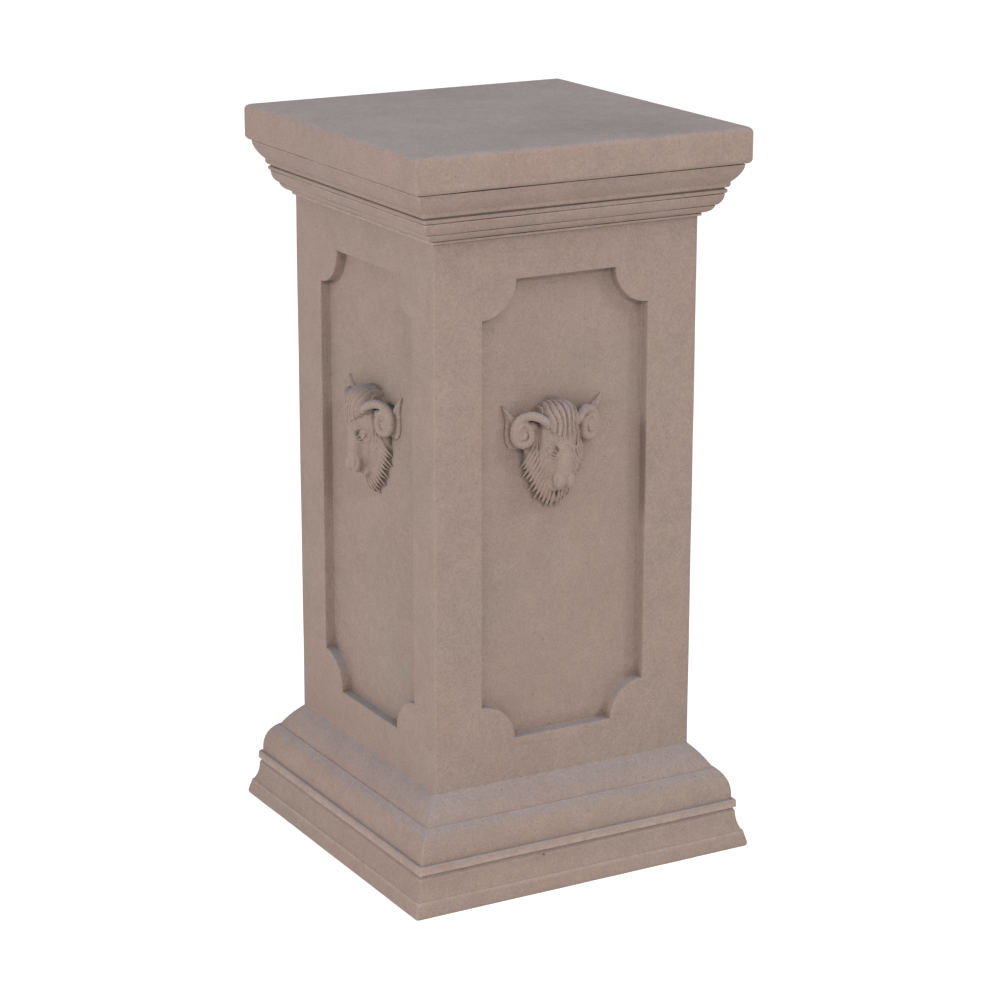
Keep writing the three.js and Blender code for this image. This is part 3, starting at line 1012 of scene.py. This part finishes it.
# Directions over a half globe, spread evenly by the golden angle.
golden = math.pi * (3 - math.sqrt(5))
spread = []
for i in range(SHELTER_RAYS):
    lift = (i + 0.5) / SHELTER_RAYS
    flat = math.sqrt(1 - lift * lift)
    spread.append(Vector((flat * math.cos(golden * i), flat * math.sin(golden * i), lift)))
shelter = np.zeros(count)
for i in range(count):
    normal = Vector(normals[i])
    turn_to = normal.to_track_quat("Z", "Y")
    start = Vector(places[i]) + normal * SHELTER_LIFT * MM
    found = [tree.ray_cast(start, turn_to @ way, SHELTER_REACH * MM)[0] for way in spread]
    hits = sum(place is not None for place in found)
    shelter[i] = hits / SHELTER_RAYS

edge_ends = np.zeros(len(mesh.edges) * 2, np.int64)
mesh.edges.foreach_get("vertices", edge_ends)
edge_ends = edge_ends.reshape(-1, 2)
ends = np.vstack([edge_ends, edge_ends[:, ::-1]])
way = places[ends[:, 1]] - places[ends[:, 0]]
length = np.linalg.norm(way, axis=1) + 1e-9
fall = -(way * normals[ends[:, 0]]).sum(1) / length
total = np.bincount(ends[:, 0], fall, count)
wear = total / np.maximum(1, np.bincount(ends[:, 0], minlength=count))
for name, values in (("shelter", shelter), ("wear", np.clip(wear, 0, 1))):
    layer = mesh.attributes.new(name, "FLOAT", "POINT")
    layer.data.foreach_set("value", values.astype(np.float32))
print("sheltered points:", int((shelter > 0.4).sum()), "worn points:", int((wear > 0.2).sum()))

# %% [markdown]
# ## The stone
#
# Cast stone is crushed limestone and cement, left matt. Its colour drifts between a pinkish and a greenish
# beige over a hand's breadth, the top is a mauve grey darkened further as painted shade, grains and
# pinholes give it a fine tooth, painted shade darkens the hollows and the pinholes, and the arrises are
# paler. It is made from noise alone, so it needs no pictures and has no seams.

# %% Make the stone
PINK_STONE = (0.236, 0.168, 0.143)
GREEN_STONE = (0.225, 0.172, 0.144)
# The top's own mauve grey, made darker than it is as painted shade on the upward faces.
TOP_TONE_AND_SHADE = (0.212, 0.182, 0.181)
# The colour of painted shade in the hollows and the pinholes.
PAINTED_SHADE_STONE = (0.075, 0.048, 0.038)
WORN_STONE = (0.36, 0.285, 0.25)
PATCH_SHARE = 0.72
# Scale, depth and shift of the tone changes, from blotches down to single grains.
TONES = [(22.0, 0.05, 1.7), (110.0, 0.05, 5.3), (520.0, 0.14, 0.4)]
BUMP_STRENGTH = 0.55
BUMP_METRES = 0.0009

stone = bpy.data.materials.new("cast_stone")
stone.use_nodes = True
nodes, links = stone.node_tree.nodes, stone.node_tree.links
shader = nodes["Principled BSDF"]


def node(kind, **settings):
    made = nodes.new(kind)
    for key, value in settings.items():
        setattr(made, key, value)
    return made


def feed(socket, value):
    """Links a node's output to a socket, or sets the socket to a value."""
    if hasattr(value, "links"):
        links.new(value, socket)
    else:
        socket.default_value = value


def cloud(scale, detail=3.0, rough=0.55, shift=0.0):
    """Noise from 0 to 1 over the stone, with features of one metre divided by the scale."""
    moved = node("ShaderNodeVectorMath", operation="ADD")
    links.new(coords, moved.inputs[0])
    moved.inputs[1].default_value = (shift, shift * 0.7, shift * 1.3)
    made = node("ShaderNodeTexNoise")
    links.new(moved.outputs[0], made.inputs["Vector"])
    made.inputs["Scale"].default_value = scale
    made.inputs["Detail"].default_value = detail
    made.inputs["Roughness"].default_value = rough
    return made.outputs["Fac"]


def math_node(operation, a, b):
    made = node("ShaderNodeMath", operation=operation)
    feed(made.inputs[0], a)
    feed(made.inputs[1], b)
    return made.outputs[0]


def spread_over(value, low_in, high_in, low_out=0.0, high_out=1.0):
    """A value stretched from one span of numbers to another, and held at its ends."""
    made = node("ShaderNodeMapRange")
    feed(made.inputs["Value"], value)
    made.inputs["From Min"].default_value = low_in
    made.inputs["From Max"].default_value = high_in
    made.inputs["To Min"].default_value = low_out
    made.inputs["To Max"].default_value = high_out
    return made.outputs["Result"]


def mixed(share, first, second, blend="MIX"):
    """One colour laid over another by a share."""
    made = node("ShaderNodeMix", data_type="RGBA", blend_type=blend)
    feed(made.inputs["Factor"], share)
    for socket, value in ((made.inputs["A"], first), (made.inputs["B"], second)):
        colour_socket = [s for s in made.inputs if s.name == socket.name and s.type == "RGBA"][0]
        feed(colour_socket, value if hasattr(value, "links") else (*value, 1.0))
    return [s for s in made.outputs if s.type == "RGBA"][0]


# %% Lay the colours
coords = node("ShaderNodeTexCoord").outputs["Object"]
drift = spread_over(cloud(6.5, 4.0), 0.38, 0.62)
colour = mixed(drift, PINK_STONE, GREEN_STONE)
# The top is a mauve grey darkened further as painted shade, with a softer darker patch on it.
facing = node("ShaderNodeSeparateXYZ")
links.new(node("ShaderNodeNewGeometry").outputs["Normal"], facing.inputs[0])
top_tone_and_shade_share = spread_over(facing.outputs["Z"], 0.45, 0.85)
colour = mixed(top_tone_and_shade_share, colour, TOP_TONE_AND_SHADE)
patch = spread_over(cloud(4.2, 2.0, 0.5, 3.1), 0.48, 0.66, 0.0, 0.55)
patch = math_node("MULTIPLY", top_tone_and_shade_share, patch)
colour = mixed(patch, colour, tuple(c * PATCH_SHARE for c in TOP_TONE_AND_SHADE))
for scale, depth, shift in TONES:
    tone = spread_over(cloud(scale, 4.0, 0.6, shift), 0.3, 0.7, 1 - depth, 1 + depth)
    grey = node("ShaderNodeCombineColor")
    for socket in grey.inputs:
        links.new(tone, socket)
    colour = mixed(1.0, colour, grey.outputs[0], "MULTIPLY")

sheltered = node("ShaderNodeAttribute", attribute_name="shelter").outputs["Fac"]
worn = node("ShaderNodeAttribute", attribute_name="wear").outputs["Fac"]
# Painted shade lies unevenly in the hollows, and the arrises are rubbed pale here and there.
uneven_painted_shade = spread_over(cloud(60.0, 3.0), 0.3, 0.6, 0.6, 1.0)
hollow_painted_shade = math_node("MULTIPLY", spread_over(sheltered, 0.42, 0.9, 0.0, 0.85), uneven_painted_shade)
colour = mixed(hollow_painted_shade, colour, PAINTED_SHADE_STONE)
uneven_wear = spread_over(cloud(120.0, 4.0, 0.6, 2.2), 0.35, 0.6, 0.35, 1.0)
rubbed = math_node("MULTIPLY", spread_over(worn, 0.10, 0.40, 0.0, 0.7), uneven_wear)
colour = mixed(rubbed, colour, WORN_STONE)


# %% Prick the pinholes and raise the grain
def pinholes(scale, size, shift):
    """Round spots scattered over the stone, from 0 outside to 1 in each middle."""
    moved = node("ShaderNodeVectorMath", operation="ADD")
    links.new(coords, moved.inputs[0])
    moved.inputs[1].default_value = (shift, shift, shift)
    cells = node("ShaderNodeTexVoronoi")
    links.new(moved.outputs[0], cells.inputs["Vector"])
    cells.inputs["Scale"].default_value = scale
    spots = spread_over(cells.outputs["Distance"], size, size * 0.35)
    # Only some of the cells hold a hole.
    chosen = node("ShaderNodeSeparateColor")
    links.new(cells.outputs["Color"], chosen.inputs[0])
    return math_node("MULTIPLY", spots, math_node("GREATER_THAN", chosen.outputs[0], 0.8))


fine_holes = pinholes(260.0, 0.17, 0.0)
coarse_holes = pinholes(110.0, 0.10, 0.5)
holes = math_node("MAXIMUM", fine_holes, coarse_holes)
# The pinholes are darkened as painted shade inside each hole.
colour = mixed(math_node("MULTIPLY", holes, 0.4), colour, PAINTED_SHADE_STONE)
links.new(colour, shader.inputs["Base Color"])
feed(shader.inputs["Roughness"], spread_over(cloud(180.0, 3.0), 0.3, 0.7, 0.86, 0.97))

# Grains and blotches stand out, and holes go in.
grains = math_node("MULTIPLY", cloud(750.0, 3.0), 0.35)
blotches = math_node("MULTIPLY", cloud(130.0, 4.0, 0.6), 0.8)
relief = math_node("ADD", grains, blotches)
relief = math_node("SUBTRACT", relief, math_node("MULTIPLY", holes, 0.9))
bump = node("ShaderNodeBump")
bump.inputs["Strength"].default_value = BUMP_STRENGTH
bump.inputs["Distance"].default_value = BUMP_METRES
links.new(relief, bump.inputs["Height"])
links.new(bump.outputs["Normal"], shader.inputs["Normal"])
print("stone:", len(nodes), "nodes")

# %% Finish the surface
SHARP_ANGLE = math.radians(38)
mesh.materials.clear()
mesh.materials.append(stone)
mesh.shade_smooth()
net = bmesh.new()
net.from_mesh(mesh)
for edge in net.edges:
    edge.smooth = edge.calc_face_angle(0) < SHARP_ANGLE
triangles = sum(len(face.verts) - 2 for face in net.faces)
net.to_mesh(mesh)
net.free()
print("pedestal:", len(mesh.polygons), "faces,", triangles, "triangles")

# %% Hand over
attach(block, "root")
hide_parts("pedestal")
